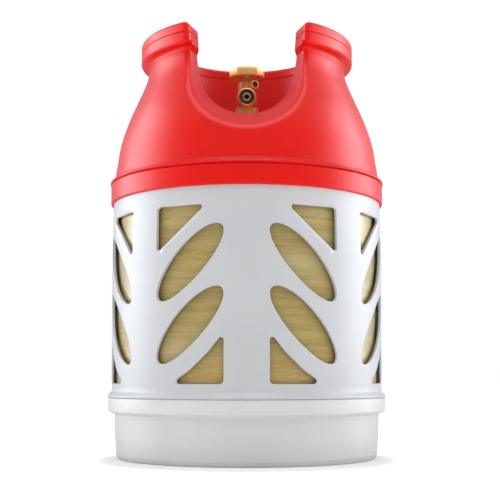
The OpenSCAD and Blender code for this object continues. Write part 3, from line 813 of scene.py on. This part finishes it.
zinc = plated("zinc_plate", (0.66, 0.68, 0.70))
nut_low = WELL_FLOOR + FLOOR_T
piece("neck_nut", *hexagon(25, nut_low + 2.5, nut_low + 9, NECK_R + 0.05, (27, nut_low)), zinc,
      "tank", "zinc_steel", ["shroud_nut"], crease=25)
piece("gland_hexagon", *hexagon(7.6, BODY_TOP + 0.1, 424.6, 4.05, (6.55, 414)), turned_brass,
      "tank", "brass", ["gland_nut"], crease=25)


# ---------------------------------------------------------------- Handwheel
# A pressed brass wheel with a fluted rim, hollow underneath round a hub with
# a square hole. A slotted screw holds it on the spindle.
WHEEL_R, WHEEL_LOW, WHEEL_TOP, FLUTES, FLUTE_DEPTH = 20.2, 425.2, 435.8, 16, 0.45


def fluted(radii, z, angle):
    """The outer rim swells and narrows round the wheel."""
    rim = np.clip((radii - 17.2) / 1.5, 0, 1)
    lobes = np.abs(np.sin(angle * FLUTES / 2)) ** 0.75
    return radii - rim * FLUTE_DEPTH * (1 - lobes)


RECESS, SCREW_SEAT = WHEEL_LOW + 5.8, WHEEL_TOP - 2.95
wheel_outline = rounded([
    (WHEEL_R - 3.1, WHEEL_LOW, 0.9), (WHEEL_R - 0.2, WHEEL_LOW, 1.3), (WHEEL_R, WHEEL_LOW + 4, 0),
    (WHEEL_R - 0.1, WHEEL_TOP - 1.6, 1.6), (WHEEL_R - 3, WHEEL_TOP, 2.0), (9, WHEEL_TOP - 0.5, 1.5),
    (4.6, WHEEL_TOP - 0.4, 0.5), (4.6, SCREW_SEAT, 0.2), (2.2, SCREW_SEAT, 0), (2.2, RECESS, 0),
    (3.9, RECESS, 0), (3.9, WHEEL_LOW + 0.1, 0.3), (6.2, WHEEL_LOW + 0.1, 0.8), (6.8, RECESS, 1.5),
    (WHEEL_R - 4, RECESS, 2.5)], 5)
wheel_brass = brass("wheel_brass", (0.98, 0.74, 0.27), (0.82, 0.55, 0.18), 0.38)
piece("fluted_wheel", *lathe(wheel_outline, 320, fluted), wheel_brass,
      "spindle", "brass", ["handwheel"], crease=40)

screw_outline = rounded([
    (0, WHEEL_LOW + 0.3, 0), (1.95, WHEEL_LOW + 0.3, 0), (1.95, WHEEL_TOP - 2.9, 0),
    (4.3, WHEEL_TOP - 2.9, 0.2), (4.3, WHEEL_TOP - 1.2, 0.5), (2.8, WHEEL_TOP - 0.65, 1.2),
    (0, WHEEL_TOP - 0.55, 0)], 4)
screw_points, screw_faces = lathe(screw_outline, 72)
in_slot = (np.abs(screw_points[:, 0]) < 0.55) & (screw_points[:, 2] > WHEEL_TOP - 1.3)
screw_points[in_slot, 2] -= 1.0
piece("wheel_screw", screw_points, screw_faces, zinc, "spindle", "zinc_steel", ["handwheel_screw"], crease=30)


# ---------------------------------------------------------------- Inner pieces
# What only shows when the valve or the vessel is taken apart keeps its CAD
# shape: seals, spindles, the neck boss, the liner and the relief valve's works.
def moulded(name, tone, other):
    """Plain natural plastic, faintly cloudy."""
    material, flow, shader = finish(name, tone, roughness=0.45)
    feed(shader, "Base Color", flow.noise(30.0, 3.0).step(0.35, 0.7).mixed(tone, other))
    feed(shader, "Normal", bump(flow, flow.noise(500.0), 0.03, 0.5))
    return material


def turned_metal(name, tone, rough):
    """Lathe-turned metal with fine rings up its height."""
    material, flow, shader = finish(name, tone, metallic=1.0, roughness=rough)
    rings = flow.noise(60.0, 2.0, flow.stretched(0.2, 0.2, 60.0))
    feed(shader, "Roughness", rough + rings * 0.12)
    feed(shader, "Normal", bump(flow, rings, 0.02, 0.5))
    return material


stainless = turned_metal("stainless_turned", (0.60, 0.61, 0.62), 0.22)
# The lower spindle's brass is painted near black: painted shade for the dark bore of the valve it sits in.
bore_shade_brass = brass("brass_painted_bore_shade", (0.16, 0.09, 0.04), (0.08, 0.045, 0.02), 0.5)
natural = moulded("natural_nylon", (0.80, 0.79, 0.72), (0.74, 0.73, 0.66))
inner_finish = {
    "liner": moulded("liner_white", (0.78, 0.78, 0.74), (0.72, 0.72, 0.68)),
    "tail_plug": turned_metal("turned_aluminium", (0.72, 0.73, 0.75), 0.28),
    "boss": turned_brass, "relief_poppet": turned_brass, "relief_plug": turned_brass,
    "lower_spindle": bore_shade_brass,
    "boss_seal": black_rubber, "valve_o_ring": black_rubber, "spindle_o_rings": black_rubber,
    "seat_pad": black_rubber, "relief_seat_pad": black_rubber,
    "upper_spindle": stainless, "relief_spring": stainless, "thrust_washer": natural}
for node, material in inner_finish.items():
    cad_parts[node].data.materials.clear()
    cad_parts[node].data.materials.append(material)
